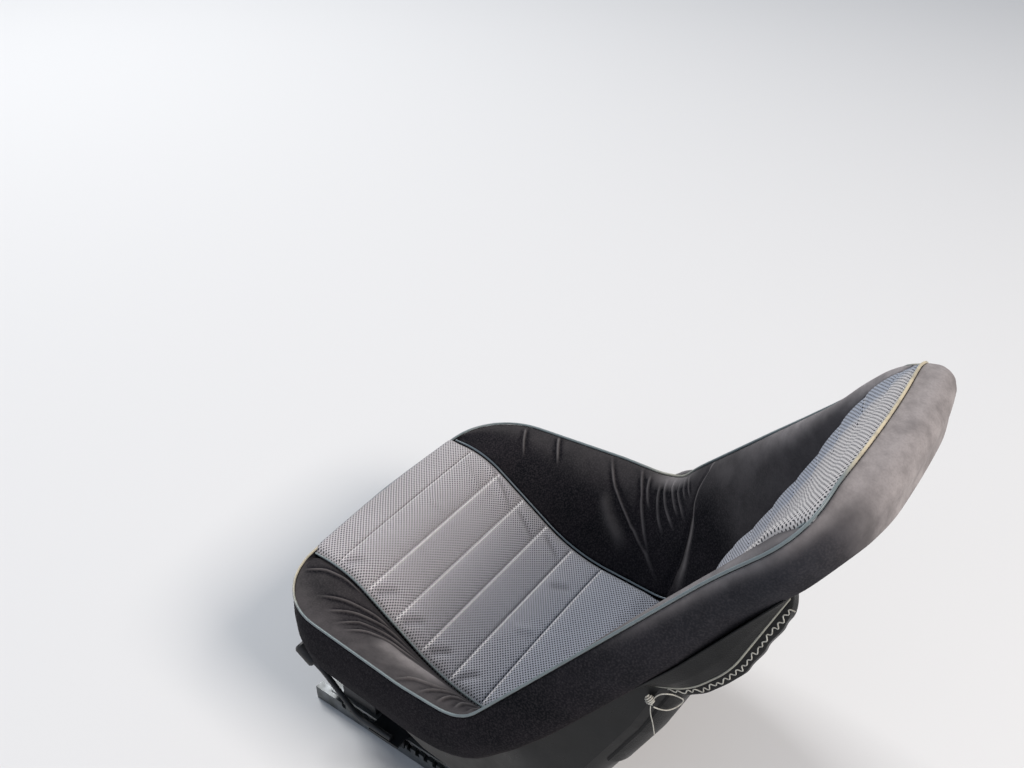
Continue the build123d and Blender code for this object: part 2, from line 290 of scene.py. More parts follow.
def add_wear_and_light(piece, worn_and_lit):
    """How far the cloth, pile or vinyl is worn pale at each point, 0 to 1."""
    layer = piece.data.attributes.new("wear_and_light", "FLOAT", "POINT")
    layer.data.foreach_set("value", np.clip(worn_and_lit, 0, 1))


def laid_ring(name, around, across, section):
    """A torus primitive whose points are moved onto section(t, s), both going round from 0 to 1."""
    piece = primitive(
        bpy.ops.mesh.primitive_torus_add, name, major_segments=around, minor_segments=across,
        major_radius=2, minor_radius=1,
    )
    flat = points_of(piece)
    turn = np.arctan2(flat[:, 1], flat[:, 0]) / (2 * math.pi) * around
    roll = np.arctan2(flat[:, 2], np.hypot(flat[:, 0], flat[:, 1]) - 2) / (2 * math.pi) * across
    t = turn.round().astype(int) % around
    s = roll.round().astype(int) % across
    points, wear_and_light = section(around, across)
    move_points(piece, points[t, s])
    add_wear_and_light(piece, wear_and_light[t, s])
    return piece


def pick(piece):
    """Leaves this piece alone selected."""
    bpy.ops.object.select_all(action="DESELECT")
    piece.select_set(True)
    bpy.context.view_layer.objects.active = piece


def face_outwards(piece):
    """Normals made consistent on a closed shape."""
    pick(piece)
    bpy.ops.object.mode_set(mode="EDIT")
    bpy.ops.mesh.select_all(action="SELECT")
    bpy.ops.mesh.normals_make_consistent(inside=False)
    bpy.ops.object.mode_set(mode="OBJECT")


def shade_smooth(piece):
    pick(piece)
    bpy.ops.object.shade_smooth()


def normals_of(points):
    """Unit normals of a grid of points, rows by columns."""
    across = np.gradient(points, axis=1)
    up = np.gradient(points, axis=0)
    normal = np.cross(across, up)
    length = np.linalg.norm(normal, axis=-1, keepdims=True)
    return normal / np.maximum(length, 1e-12)


def fold(plan, track, width, height):
    """A fold over plan points (millimetres): a crest along a track between two valleys, fading at both ends.

    Gives its height, and how near its crest and its valleys each point lies, 0 to 1.
    """
    track = spaced(np.array(track, float), 16)
    nearest = np.full(plan.shape[:-1], 1e9)
    share = np.zeros(plan.shape[:-1])
    for i, start in enumerate(track[:-1]):
        run = track[i + 1] - start
        away = plan - start
        along = np.clip(away @ run / (run @ run), 0, 1)
        gap = np.linalg.norm(away - along[..., None] * run, axis=-1)
        share = np.where(gap < nearest, (i + along) / (len(track) - 1), share)
        nearest = np.minimum(nearest, gap)
    fade = smooth(-0.02, 0.2, share) * smooth(1.0, 0.65, share)
    crest = np.exp(-((nearest / width) ** 2)) * fade
    valleys = np.exp(-((nearest / width / 2.6) ** 2)) * fade
    return height * (1.5 * crest - 0.5 * valleys), crest, valleys


def tube(name, points, radius, kind="POLY", meshed=True):
    """A round bead through points in metres, or as a NURBS curve drawn smoothly by a few of them."""
    curve = bpy.data.curves.new(name, "CURVE")
    curve.dimensions = "3D"
    curve.bevel_depth = radius
    curve.bevel_resolution = 2
    curve.use_fill_caps = True
    spline = curve.splines.new(kind)
    spline.points.add(len(points) - 1)
    spline.points.foreach_set("co", np.column_stack([points, np.ones(len(points))]).ravel())
    if kind == "NURBS":
        spline.order_u = 3
        spline.use_endpoint_u = True
        spline.resolution_u = 6
    piece = bpy.data.objects.new(name, curve)
    bpy.context.collection.objects.link(piece)
    if meshed:
        pick(piece)
        bpy.ops.object.convert(target="MESH")
        piece = bpy.context.object
        bpy.ops.object.shade_smooth()
    return piece


def tone(code):
    """A colour given as an sRGB hex code, in linear light."""
    shares = [int(code[i : i + 2], 16) / 255 for i in (0, 2, 4)]
    return tuple(s / 12.92 if s <= 0.04045 else ((s + 0.055) / 1.055) ** 2.4 for s in shares)


def add_node(tree, kind, links, output=0, **settings):
    """A node with its settings, and inputs given as values, hex colours or outputs; gives its own output."""
    node = tree.nodes.new("ShaderNode" + kind)
    for key, value in settings.items():
        setattr(node, key, value)
    for key, value in links.items():
        socket = node.inputs[key]
        if isinstance(value, bpy.types.NodeSocket):
            tree.links.new(value, socket)
        elif socket.type == "RGBA":
            socket.default_value = (*(tone(value) if isinstance(value, str) else value), 1)
        else:
            socket.default_value = value
    return node.outputs[output]


def finish(name, **sockets):
    """Makes a function that lays out a finish's nodes into one that gives its material, made once."""

    def wrapped(lay_out):
        def material_of(colours):
            material = bpy.data.materials.get(name)
            if not material:
                material = bpy.data.materials.new(name)
                material.use_nodes = True
                shader = material.node_tree.nodes["Principled BSDF"]
                for key, value in sockets.items():
                    shader.inputs[key.replace("_", " ")].default_value = value
                lay_out(material.node_tree, shader, colours)
            return material

        material_of.__doc__ = lay_out.__doc__
        return material_of

    return wrapped


def graded(tree, pattern, low, high, least=0.0, most=1.0):
    """A pattern turned into least at its low level and most at its high one.

    The pattern is another node's output, or noise given as (size in millimetres, detail, roughness, stretch).
    """
    if not isinstance(pattern, bpy.types.NodeSocket):
        size, detail, roughness, stretch = (*pattern, *(1.0, 3.0, 0.5, (1, 1, 1))[len(pattern) :])
        where = add_node(tree, "TexCoord", {}, "Object")
        where = add_node(tree, "Mapping", {"Vector": where, "Scale": stretch})
        links = {"Vector": where, "Scale": 1000 / size, "Detail": detail, "Roughness": roughness}
        pattern = add_node(tree, "TexNoise", links)
    links = {"Value": pattern, "From Min": low, "From Max": high, "To Min": least, "To Max": most}
    return add_node(tree, "MapRange", links)


def layered(tree, shader, base, rows):
    """Base colour with others laid over it in turn: pattern, low and high level, cover at most, colour."""
    for pattern, low, high, most, over in rows:
        share = graded(tree, pattern, low, high, 0.0, most)
        base = add_node(tree, "Mix", {0: share, 6: base, 7: over}, 2, data_type="RGBA")
    tree.links.new(base, shader.inputs["Base Color"])


def embossed(tree, shader, rows):
    """Fine relief, each row's on the one before: pattern, height in millimetres, strength."""
    links = {}
    for pattern, height, strength in rows:
        relief = graded(tree, pattern, 0.0, 1.0)
        links.update({"Height": relief, "Distance": height * MM, "Strength": strength})
        links["Normal"] = add_node(tree, "Bump", links)
    tree.links.new(links["Normal"], shader.inputs["Normal"])


@finish("woven check cloth", Roughness=0.85, Sheen_Weight=0.15, Sheen_Roughness=0.5)
def check_cloth(tree, shader, colours):
    """Woven upholstery cloth, pale warp with dark tufts: a matt surface with a clear dot lattice."""
    weave = add_node(tree, "UVMap", {}, uv_map="weave")
    across, along = (add_node(tree, "SeparateXYZ", {"Vector": weave}, side) for side in "XY")
    waves = []
    for side, step in ((across, 2.84), (along, 2.32)):       # millimetres from one row of dots to the next
        turn = add_node(tree, "Math", {0: side, 1: math.pi / step / MM}, operation="MULTIPLY")
        waves.append(add_node(tree, "Math", {0: turn}, operation="COSINE"))
    lattice = add_node(tree, "Math", {0: waves[0], 1: waves[1]}, operation="MULTIPLY")
    uneven = graded(tree, (3.0,), 0.3, 0.7, -0.1, 0.1)
    dots = graded(tree, add_node(tree, "Math", {0: lattice, 1: uneven}, operation="ADD"), 0.12, 0.42)
    # Painted shade: the cloth is painted bluer and darker round the bend of the seat and up the right-hand
    # edge of the back
    patches = (
        (graded(tree, along, 0.13, 0.34, 0.0, 0.5), graded(tree, along, 0.50, 0.72, 1.0, 0.0)),
        (graded(tree, across, -0.112, -0.088, 1.0, 0.0), graded(tree, along, 0.55, 0.75, 0.0, 0.8)),
    )
    shaded, turned = (add_node(tree, "Math", {0: a, 1: b}, operation="MULTIPLY") for a, b in patches)
    painted_highlight_and_shade = add_node(tree, "Attribute", {}, "Fac", attribute_name="wear_and_light")
    layered(tree, shader, colours.cloth_ground, (
        ((160.0, 4), 0.35, 0.65, 1.0, "a39fa1"),             # soiling
        # painted shade round the bend of the seat
        (shaded, 0.0, 1.0, 1.0, "93a0b2"),
        (along, 0.66, 0.9, 0.7, "cfc9c4"),                   # painted light: paler towards the top of the back
        # painted shade up the right-hand edge of the back
        (turned, 0.0, 1.0, 1.0, "8490a3"),
        (painted_highlight_and_shade, 0.25, 0.95, 0.9, "e6e2e0"),                # painted highlight on the lips of the stitches
        (painted_highlight_and_shade, 0.25, 0.0, 0.6, "5c5b62"),                 # painted shade in the hollows of the creases
        ((1.2,), 0.3, 0.7, 0.35, "cfcccd"),                  # threads
        (dots, 0.0, 1.0, 1.0, colours.cloth_dots),
    ))
    embossed(tree, shader, ((dots, 0.35, 0.6), ((1.0,), 0.25, 0.35)))


@finish("cut pile velour", Roughness=0.9, Sheen_Weight=0.07, Sheen_Roughness=0.3, Specular_IOR_Level=0.06)
def velour(tree, shader, colours):
    """Cut-pile velour: very dark face on, with a pale bloom where the pile is seen from the side."""
    shader.inputs["Sheen Tint"].default_value = (*tone("cfc4bd"), 1)
    where = add_node(tree, "TexCoord", {}, "Object")
    height = add_node(tree, "SeparateXYZ", {"Vector": where}, "Z")
    worn_and_lit = add_node(tree, "Attribute", {}, "Fac", attribute_name="wear_and_light")
    layered(tree, shader, colours.velour, (
        ((70, 3, 0.55), 0.35, 0.65, 1.0, "1b191d"),          # brushed pile
        (height, 0.34, 0.60, 0.42, "4a4a4f"),                # paler higher up: partly sun fading, partly painted light
        # painted sheen and light, with some real fading
        (worn_and_lit, 0.0, 1.0, 1.0, "a29c9b"),
        ((26, 4, 0.6), 0.38, 0.66, 0.34, colours.velour),    # mottling
        ((2.2, 2), 0.42, 0.75, 0.22, "5e595b"),              # flecks
    ))
    tree.links.new(graded(tree, worn_and_lit, 0.0, 0.5, 0.03, 0.10), shader.inputs["Sheen Weight"])
    embossed(tree, shader, (((1.3, 2), 0.3, 0.5), ((22, 2), 1.2, 0.35)))


@finish("vinyl piping", Roughness=0.42, Coat_Weight=0.15, Coat_Roughness=0.3)
def piping_vinyl(tree, shader, colours):
    """Soft vinyl piping over a cord: satin, with creases across it and a yellowed top."""
    yellowing_and_light = add_node(tree, "Attribute", {}, "Fac", attribute_name="wear_and_light")
    layered(tree, shader, colours.piping, (
        # yellowing and painted light
        (yellowing_and_light, 0.0, 1.0, 1.0, "c9bda2"),
        ((14, 4), 0.45, 0.75, 0.5, "5b6063"),                # dirt
    ))
    embossed(tree, shader, (((2.5, 3), 0.12, 0.5),))


@finish("dark seam piping", Roughness=0.35, Coat_Weight=0.2, Coat_Roughness=0.3)
def seam_piping_vinyl(tree, shader, colours):
    """Narrow dark piping in the seams between cloth and velour: satin."""
    layered(tree, shader, colours.seam_piping, (((9, 3), 0.4, 0.7, 0.6, "55616a"),))
    embossed(tree, shader, (((2.0, 3), 0.1, 0.5),))


@finish("black embossed vinyl", Roughness=0.42, Specular_IOR_Level=0.22)
def black_vinyl(tree, shader, colours):
    """Embossed black vinyl: pebbled grain, satin shine, dull where dust lies."""
    where = add_node(tree, "TexCoord", {}, "Object")
    cells = add_node(tree, "TexVoronoi", {"Vector": where, "Scale": 1000 / 2.2}, feature="DISTANCE_TO_EDGE")
    layered(tree, shader, colours.vinyl, (((60, 4), 0.45, 0.75, 0.35, "17181a"),))
    tree.links.new(graded(tree, (35, 3), 0.3, 0.7, 0.34, 0.52), shader.inputs["Roughness"])
    embossed(tree, shader, ((graded(tree, cells, 0.0, 0.25), 0.25, 0.5),))


@finish("black gelcoat fibreglass", Roughness=0.3, Specular_IOR_Level=0.3)
def black_gelcoat(tree, shader, colours):
    """Moulded fibreglass, black gelcoat: glossy, with faint strands of glass printing through."""
    layered(tree, shader, colours.shell, (((45, 5), 0.45, 0.7, 0.5, "141618"),))
    tree.links.new(graded(tree, (30, 3), 0.3, 0.7, 0.22, 0.45), shader.inputs["Roughness"])
    embossed(tree, shader, (((5.0, 5, 0.7, (1, 0.2, 1)), 0.3, 0.35),))


@finish("powder coated steel", Roughness=0.45)
def black_steel(tree, shader, colours):
    """Powder-coated mild steel: satin black with orange peel and a few chips."""
    chips = graded(tree, (6.0, 6, 0.7), 0.66, 0.7)
    layered(tree, shader, colours.steel, ((chips, 0.0, 1.0, 1.0, "6a6763"),))
    tree.links.new(graded(tree, chips, 0.0, 1.0, 0.0, 0.6), shader.inputs["Metallic"])
    embossed(tree, shader, (((1.6, 1), 0.08, 0.6),))


@finish("zinc plated steel", Metallic=1.0, Roughness=0.35)
def zinc_steel(tree, shader, colours):
    """Zinc-plated pressed steel: grey, softly bright, with rubbed and dulled patches."""
    where = add_node(tree, "TexCoord", {}, "Object")
    flakes = add_node(tree, "TexVoronoi", {"Vector": where, "Scale": 1000 / 9})
    dulled = graded(tree, (25, 5), 0.35, 0.65)
    layered(tree, shader, colours.zinc, ((dulled, 0.0, 1.0, 1.0, "6c6d6b"),))
    rough = add_node(tree, "Math", {0: flakes, 1: dulled}, operation="MULTIPLY")
    tree.links.new(graded(tree, rough, 0.0, 0.7, 0.42, 0.62), shader.inputs["Roughness"])
    embossed(tree, shader, (((0.9, 2, 0.5, (1, 0.1, 1)), 0.04, 0.5),))


@finish("black moulded plastic", Roughness=0.48)
def grip_plastic(tree, shader, colours):
    """Moulded black plastic: fine spark texture, satin."""
    layered(tree, shader, colours.grip, (((18, 4), 0.45, 0.7, 0.5, "3a3533"),))
    embossed(tree, shader, (((0.8, 2), 0.08, 0.6),))


@finish("natural nylon", Roughness=0.4, IOR=1.53)
def natural_nylon(tree, shader, colours):
    """Glide blocks of natural nylon: milky, slightly waxy."""
    layered(tree, shader, colours.glide, (((12, 4), 0.4, 0.7, 0.5, "8f8a7c"),))
    embossed(tree, shader, (((1.5, 2), 0.05, 0.5),))


@finish("waxed lacing cord", Roughness=0.65, Sheen_Weight=0.2)
def waxed_cord(tree, shader, colours):
    """Waxed lacing cord: twisted, off-white and grubby."""
    layered(tree, shader, colours.cord, (((4.0, 4), 0.35, 0.7, 0.8, "8f8b82"),))
    embossed(tree, shader, (((0.7, 2), 0.1, 0.7),))


@finish("pale studio floor", Roughness=0.9)
def floor_paint(tree, shader, colours):
    """Matt pale paint of the studio floor."""
    shader.inputs["Base Color"].default_value = (*tone("d8d8d8"), 1)


def dress(piece, material):
    """The one material of a piece made here."""
    piece.data.materials.clear()
    piece.data.materials.append(material)


def dress_nodes(material, *names):
    """A finish on the frame's own parts, whose meshes stay as they are."""
    for name in names:
        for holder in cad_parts[name].material_slots:
            holder.material = material


def channels(along, stitches, height):
    """Bulges between cross stitches: full in the middle, steep beside each stitch."""
    edges = np.array(stitches, float)
    last = np.clip(np.searchsorted(edges, along) - 1, 0, len(edges) - 2)
    share = np.clip((along - edges[last]) / (edges[last + 1] - edges[last]), 0, 1) ** 0.72
    return height * np.sin(math.pi * share) ** 0.28


def level(distance):
    """An edge that stands at one distance along the rim all the way across."""
    return lambda x: np.full(np.shape(x), distance)


def stitch_puckers(x, along, stitches, height, seed):
    """Little ripples that run out from each line of stitches and die away."""
    dice = np.random.default_rng(seed)
    total = np.zeros(np.shape(x))
    for stitch in stitches:
        phase = dice.uniform(0, 6.28, 4)
        pitches = dice.uniform(11, 27, 4)
        ripple = sum(np.sin(x * 2 * math.pi / p + f) for p, f in zip(pitches, phase)) / 4
        reach = np.abs(along - stitch)
        total += ripple * height * np.exp(-reach / 9) * smooth(0, 2.5, reach)
    return total


def panel_surface(edges, stitches, bulge, ripple, shaped, puckers, seed):
    """Surface of a cloth panel between two edges across the seat: points, weave map and wear of a grid."""

    def surface(u, v):
        lines = [edges[0](np.zeros(1))[0], *stitches, edges[1](np.zeros(1))[0]]
        lane = np.linspace(lines[0], lines[-1], 2000)
        crowding = np.cumsum(1 + 3 * sum(hump(lane, stitch + 1, 5) for stitch in stitches))
        guess = np.interp(v, crowding / crowding[-1], lane)
        left, right = panel_half(guess) - 1.3, panel_half(guess, -1) - 1.3
        x = u * left - (1 - u) * right
        high = edges[1](x)
        along = guess + (edges[0](x) - lines[0]) * (1 - v) ** 8 + (high - lines[-1]) * v**8
        near_side = np.minimum(left - x, x + right)
        raised = channels(along, lines, bulge) * smooth(-4, 16, near_side)
        raised += stitch_puckers(x, along, stitches, ripple, seed)
        raised += shaped(x, along)
        plan = np.stack([x, along], axis=-1)
        painted_highlight_and_shade = np.full_like(x, 0.25)
        for track, width, height in puckers:
            lift, crest, _ = fold(plan, track, width, height)
            raised += 1.4 * lift
            # Sunk creases are painted darker: painted shade
            painted_highlight_and_shade -= 0.2 * crest * (height < 0)
        for stitch in stitches:
            raised -= 1.5 * hump(along, stitch, 1.2)
            # Painted highlight on the lip just behind each stitch
            painted_highlight_and_shade += 0.7 * hump(along, stitch + 2.4, 1.3) * smooth(0, 10, near_side)
        raised *= smooth(0, 8, near_side) * smooth(-3, 9, high - along)
        raised -= 2.6 * (1 - smooth(0, 7, near_side))
        raised += crown(x, along) - 0.8 * (1 - smooth(0, 5, high - along))
        split = np.minimum(np.abs(along - PANEL_SPLIT), 10)
        raised -= 3.0 * (1 - smooth(0, 10, split))
        flat = place(x, along, panel_depth(along))
        points = flat + normals_of(flat) * raised[..., None] * MM
        return points, np.stack([x, panel_run(along)], axis=-1), painted_highlight_and_shade

    return surface


# Tension creases in the cushion cloth: track of (x, along), width and height, sunk ones below zero
CUSHION_PUCKERS = (
    (((-150, 64), (-134, 100), (-114, 134)), 4.0, -2.2),
    (((-142, 66), (-126, 98), (-108, 128)), 6.0, 1.8),
    (((-124, 136), (-116, 156), (-106, 180)), 4.0, -2.0),
    (((-130, 180), (-122, 200), (-112, 222)), 4.5, -1.8),
    (((-118, 40), (-106, 60), (-95, 92)), 5.0, 1.7),
    (((-20, 52), (-24, 80)), 6.0, 1.2),
    (((30, 236), (10, 262)), 7.0, 1.5),
    (((-62, 232), (-84, 262)), 6.0, -1.6),
    (((144, 46), (132, 52), (116, 62)), 5.0, -2.0),
    (((144, 96), (132, 102), (112, 114)), 5.0, -2.2),
    (((145, 138), (133, 144), (112, 158)), 5.0, -2.2),
    (((145, 182), (133, 188), (114, 204)), 5.0, -2.0),
    (((144, 228), (130, 236), (112, 250)), 5.0, -1.8),
)


def cushion_shape(x, along):
    """The cushion's cloth: a little fuller in the middle and along the front edge."""
    return 3.0 * (1 - (x / 150) ** 2) * smooth(0, 60, along) + 3.5 * smooth(30, -8, along)


def back_shape(x, along):
    """The back's cloth: tilted up along both sides and hollow between them."""
    tilt = 11.0 * smooth(92, 138, np.abs(x)) * smooth(350, 460, along) * smooth(812, 740, along)
    hollow = 3.0 * (1 - np.clip(np.abs(x) / 100, 0, 1) ** 2)
    hollow *= smooth(360, 430, along) * smooth(810, 760, along)
    ridge = 2.6 * hump(x, -96, 7) * smooth(440, 520, along) * smooth(790, 750, along)
    return tilt - hollow + ridge


class BUCKET_OT_cloth_panels(bpy.types.Operator):
    """Lay the cushion's and the back's channelled cloth"""

    bl_idname = "bucket.cloth_panels"
    bl_label = "Cloth Panels"

    def execute(self, context):
        cloth = check_cloth(context.scene.bucket_colours)
        sizes = context.scene.bucket_sizes
        split = level(PANEL_SPLIT)
        rows = (
            ("cushion_panel", 160, (front_edge, split), CUSHION_STITCHES, sizes.cushion_channel, 1.2,
             cushion_shape, CUSHION_PUCKERS, 3),
            ("back_panel", 240, (split, top_edge), BACK_STITCHES, sizes.back_channel, 0.4,
             back_shape, (), 5),
        )
        for node, lines, edges, stitches, bulge, ripple, shaped, puckers, seed in rows:
            surface = panel_surface(edges, stitches, bulge / MM, ripple, shaped, puckers, seed)
            panel = laid_grid(node + "_cloth", 144, lines, surface)
            applied(panel, "SOLIDIFY", thickness=PANEL_PADDING, offset=-1)
            shade_smooth(panel)
            dress(panel, cloth)
            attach(panel, "seat")
            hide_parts(node)
        return {"FINISHED"}


# Folds in the cushion bolsters: track of (x, along), width and height, millimetres
FAR_FOLDS = (
    (((253, 221), (228, 246), (217, 263), (198, 295), (181, 309), (167, 315), (156, 318)), 1.9, 2.2),
    (((255, 272), (231, 291), (209, 301), (189, 308), (172, 313)), 1.9, 2.1),
    (((250, 290), (237, 295), (220, 304)), 1.8, 1.6),
    (((246, 309), (233, 311), (215, 316), (203, 321)), 1.9, 2.2),
    (((252, 317), (239, 318), (228, 322), (216, 328), (205, 332)), 1.8, 2.0),
    (((251, 331), (243, 329), (227, 334), (216, 338)), 1.8, 2.0),
    (((247, 342), (237, 339), (223, 343), (210, 345)), 1.7, 1.8),
    (((248, 352), (237, 349), (226, 350)), 1.7, 1.6),
    (((247, 361), (233, 359), (224, 360)), 1.7, 1.4),
    (((218, 232), (197, 256), (181, 286), (172, 297)), 8.0, 2.6),
    (((238, 74), (215, 86), (190, 103)), 2.2, 1.5),
    (((248, 129), (235, 137), (212, 153)), 2.2, 1.5),
)
NEAR_FOLDS = (
    (((184, 12), (166, 34), (158, 62), (154, 96)), 1.9, 1.7),
    (((206, 58), (184, 87), (167, 118), (158, 158)), 1.9, 1.9),
    (((217, 84), (190, 107), (170, 136), (159, 180)), 1.9, 1.9),
    (((228, 108), (200, 122), (181, 150), (166, 198)), 1.9, 1.7),
    (((231, 124), (208, 138), (188, 166), (172, 214)), 2.0, 1.3),
    (((206, 150), (213, 196), (210, 240), (196, 276)), 12.0, 3.4),
    (((254, 228), (238, 242), (226, 266), (204, 288)), 1.9, 2.2),
    (((254, 262), (241, 270), (220, 279), (200, 292)), 1.8, 1.9),
    (((253, 290), (234, 289), (213, 297)), 1.8, 1.8),
    (((250, 312), (236, 304), (214, 306)), 1.7, 1.6),
    (((250, 332), (236, 322), (212, 322)), 1.7, 1.5),
)


def hip_along(share):
    """Where along the rim the seam of bolster and wing stands, by the share of the way out to the rim."""
    return np.interp(share, *zip(*HIP_SEAM))


def side_surface(side, low, high, folds, waves):
    """Surface of a velour side from panel seam to rim, between two edges given by the share across it."""

    def surface(u, v):
        share = u if side > 0 else 1 - u
        along = low(share) * (1 - v) + high(share) * v
        seam, rim = panel_half(along, side), rim_half(along)
        deep = panel_depth(along)
        wide = np.hypot(rim - seam, deep)
        full = (0.10 * deep + 0.6) * 4 * share**1.3 * (1 - share) ** 0.75
        x = seam + share * np.maximum(rim - seam, 0.2)
        depth = deep * (1 - share) + 0.8 - full * (rim - seam) / wide
        flat = place(side * (x - full * deep / wide), along, depth)
        # The padding swells over the piping, most of all beside the top of the back
        inwards = (1 - share) * wide
        reach = np.minimum(15, 0.45 * wide)
        swell = (1.6 + 7.4 * smooth(420, 640, along)) * smooth(120, 300, along)
        swell *= smooth(806, 750, along) if side < 0 else smooth(808, 768, along)
        swell += 5.0 * hump(along, 712, 40) * (side < 0)
        raised = swell * inwards / reach * np.exp(1 - inwards / reach)
        plan = np.stack([x, along], axis=-1)
        # Painted highlight on the crests of the narrow folds and painted shade in their valleys; painted
        # sheen on the broad folds
        shine = np.zeros_like(x)
        for track, width, height in folds:
            lift, crest, valleys = fold(plan, track, width, height)
            raised += 1.3 * lift * smooth(0, 8, inwards)
            shine += (0.5 * crest - 0.22 * valleys) if width < 5 else (0.4 if side > 0 else 0.15) * crest
        raised += waves(share, along)
        raised = raised * smooth(0, 8, share * wide) - 2.6 * (1 - smooth(0, 7, share * wide))
        for gap in (v, 1 - v):
            from_end = gap * np.abs(high(share) - low(share))
            raised -= 2.5 * (1 - smooth(0, 8, from_end)) * smooth(0, 14, inwards)
        raised += crown(side * x, along)
        points = flat + normals_of(flat) * raised[..., None] * MM
        # Painted light and sheen, with some real fading: paler towards the rim up the back, a little paler
        # all over, and paler higher up
        wear_and_light = shine + (0.4 if side > 0 else 0.62) * smooth(0.5, 1, share) * smooth(470, 640, along)
        wear_and_light += 0.10 * smooth(0.5, 0.95, share) + (0.07 if side > 0 else 0.0) + 0.08 * smooth(380, 460, along)
        if side < 0:
            # Painted light over the top of the right wing
            wear_and_light += 0.9 * smooth(0.05, 0.45, share) * smooth(680, 760, along) + 0.06 * smooth(400, 460, along)
            # Painted highlight along the wing's front edge and on the elbow's lip
            wear_and_light += 0.42 * hump(along - hip_along(share), 4.5, 3) * smooth(0.02, 0.3, share)
            wear_and_light += 0.6 * smooth(0.84, 0.97, share) * hump(along, 335, 30)
        else:
            # Painted sheen on the left bolster's broad fold
            wear_and_light += 0.35 * hump(x, 205, 26) * hump(along, 215, 50)
        return points, np.stack([side * (seam + share * wide), along], axis=-1), wear_and_light

    return surface


def wing_waves(share, along):
    """Slack in the wing's velour: soft hollows that run from panel to rim."""
    wave = np.sin(along / 15 + 2.2 * share) * 1.1 + np.sin(along / 27 - 1.5 * share + 1) * 1.8
    return wave * np.sin(math.pi * share) * smooth(600, 420, along)


def bolster_waves(share, along):
    """Slight slack in the bolster's velour."""
    wave = np.sin(along / 27 + 2.0 * share) * 0.6
    return wave * np.sin(math.pi * share)


# Distance along the rim at which each wing's velour ends, by side
WING_TOPS = {1: 800.0, -1: 790.0}


class BUCKET_OT_velour_sides(bpy.types.Operator):
    """Lay the velour over the cushion bolsters and the back's wings"""

    bl_idname = "bucket.velour_sides"
    bl_label = "Velour Sides"

    def execute(self, context):
        pile = velour(context.scene.bucket_colours)
        for side, word, folds in ((1, "left", NEAR_FOLDS), (-1, "right", FAR_FOLDS)):
            rows = (
                ("cushion_bolster_", level(3.0), hip_along, 130, 260, folds, bolster_waves),
                ("back_wing_", hip_along, level(WING_TOPS[side]), 70, 220, (), wing_waves),
            )
            for stem, low, high, columns, lines, tracks, waves in rows:
                node = stem + word
                surface = side_surface(side, low, high, tracks, waves)
                sheet = laid_grid(node + "_velour", columns, lines, surface)
                applied(sheet, "SOLIDIFY", thickness=SIDE_PADDING, offset=-1)
                shade_smooth(sheet)
                dress(sheet, pile)
                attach(sheet, "seat")
                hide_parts(node)
        return {"FINISHED"}


def rim_ring(around):
    """Points round the whole rim, as (x, along), with unit normals that point outwards in plan."""
    ring = spaced(RIM, around, closed=True)
    ahead = np.roll(ring, -1, axis=0) - np.roll(ring, 1, axis=0)
    ahead /= np.linalg.norm(ahead, axis=1, keepdims=True)
    outward = np.stack([ahead[:, 1], -ahead[:, 0]], axis=1)
    return ring, outward


def ring_section(profile):
    """A section for laid_ring, where profile(ring, across) gives inset, depth and wear at each point."""

    def section(around, across):
        ring, outward = rim_ring(around)
        inset, depth, wear_and_light = profile(ring, across)
        x = ring[:, 0, None] - outward[:, 0, None] * inset
        along = ring[:, 1, None] - outward[:, 1, None] * inset
        return place(x, along, depth), wear_and_light

    return section


def elbow_dip(x, along):
    """Where the right-hand piping slips inwards at the elbow and the border stands up behind it."""
    return hump(along, 347, 23) * (x < 0)


# Slanting creases in the band beside the elbows: side, distance along the rim at both ends, and their depths
BAND_CREASES = ((1, 268, 292, 12, 62), (1, 300, 318, 30, 60), (-1, 262, 290, 10, 60))


def band_profile(ring, across):
    """Section of the padded border: full outside, curled under at the hem, flat against the shell."""
    insets, depths = [], []
    for x, along in ring:
        swell = crown(x, along)
        top = smooth(730, 815, along)
        deep = border_depth(min(max(along, -10), RIM_END)) + 13.5 * smooth(185, 60, abs(x)) * top
        pillow = 13.0 * smooth(175, 25, x) * smooth(-185, -110, x) * top
        belly = 1.4 + 1.0 * smooth(560, 720, along) + pillow
        up = -swell - 7.0 * elbow_dip(x, along)
        corners = (
            (4.0, 3.4 + up, 1), (1.0, 0.5 + up, 1), (-belly, deep * 0.27, 32),
            (-belly * 0.8, deep * 0.62, 32), (4.5, deep - 9, 16), (12, deep - 1, 9),
            (19, deep + 0.5, 6), (22, deep - 6, 4), (22, deep * 0.78, 2), (12, 32 + up, 6),
            (6, 14 + up, 4),
        )
        loop = spaced(rounded(corners, closed=True), across, closed=True)
        insets.append(loop[:, 0])
        depths.append(loop[:, 1])
    inset, depth = np.array(insets), np.array(depths)
    x, along = ring[:, :1], ring[:, 1:]
    outer = smooth(8, 2, inset)
    inset = inset + 0.5 * outer * hump(depth, 15 + 3 * np.sin(along / 60), 7) * smooth(480, 640, along)
    inset = inset + 0.24 * outer * np.sin(along / 23 + depth / 14) * smooth(5, 30, depth)
    for side, start, end, low, high in BAND_CREASES:
        middle = start + (end - start) * np.clip((depth - low) / (high - low), 0, 1)
        crease = hump(along, middle, 4) * smooth(low, low + 10, depth) * smooth(high, high - 10, depth)
        inset = inset + 1.2 * outer * crease * (np.sign(x) == side)
    top = smooth(730, 815, along) * smooth(165, 60, x)
    # Painted light: paler just under the piping up the back, pale across the top of the seat, and a painted
    # highlight on the right elbow's lip
    wear_and_light = 0.55 * hump(depth, 2, 8) * smooth(520, 700, along) * (1 - top)
    wear_and_light += top * (0.82 + 0.18 * smooth(8, 40, depth)) + 0.9 * elbow_dip(x, along) * hump(depth, -4, 7)
    return inset, depth, wear_and_light


